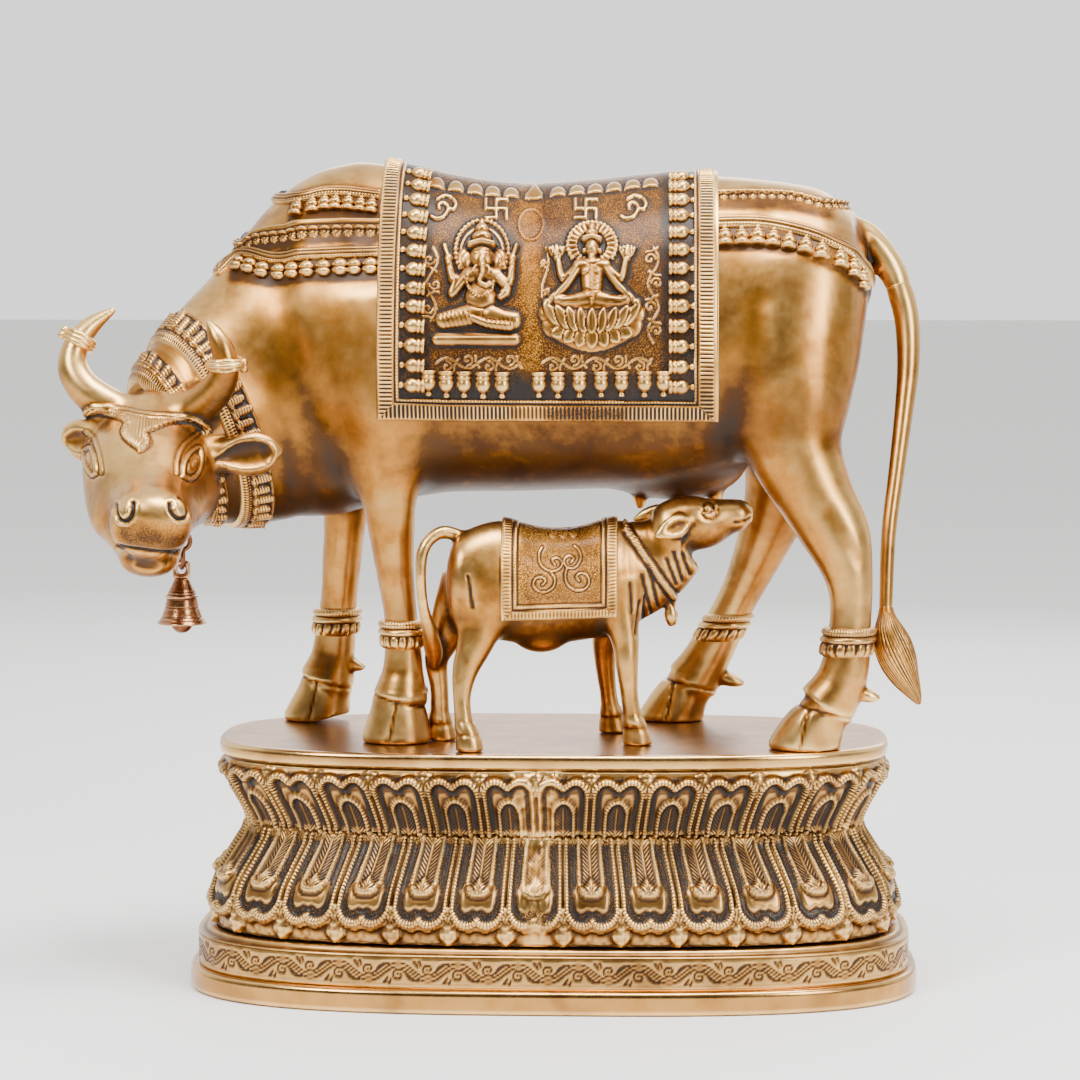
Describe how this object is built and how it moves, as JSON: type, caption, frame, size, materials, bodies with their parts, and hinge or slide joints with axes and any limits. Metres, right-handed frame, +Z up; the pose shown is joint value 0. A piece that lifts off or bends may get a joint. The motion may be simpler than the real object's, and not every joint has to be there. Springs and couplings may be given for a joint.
{
  "type": "cow and calf statue",
  "caption": "Cast brass cow nursing her calf on an oval lotus plinth, dressed in a saddle cloth, garlands and collars, with a small bell hung under her throat.",
  "frame": {"origin": "centre of the plinth's underside, at table level", "axes": "+Z up; +X along the plinth's length towards the cow's tail, so her head is towards -X; +Y towards the side away from the calf"},
  "size_m": [0.6446, 0.3411, 0.6296],
  "materials": {
    "plinth": "aged brass, satin, dark in the recesses and worn bright on the raised edges",
    "cow": "aged golden-brown brass, smooth and softly polished on the body, dark in the carving",
    "calf": "aged golden-brown brass, smooth and softly polished",
    "link": "dull brown wire",
    "bell": "darker reddish-brown brass, satin"
  },
  "bodies": {
    "root": {"lotus_plinth": "plinth", "cow": "cow", "calf": "calf", "bell_link": "link", "bell": "bell", "bell_clapper": "bell"}
  },
  "joints": []
}
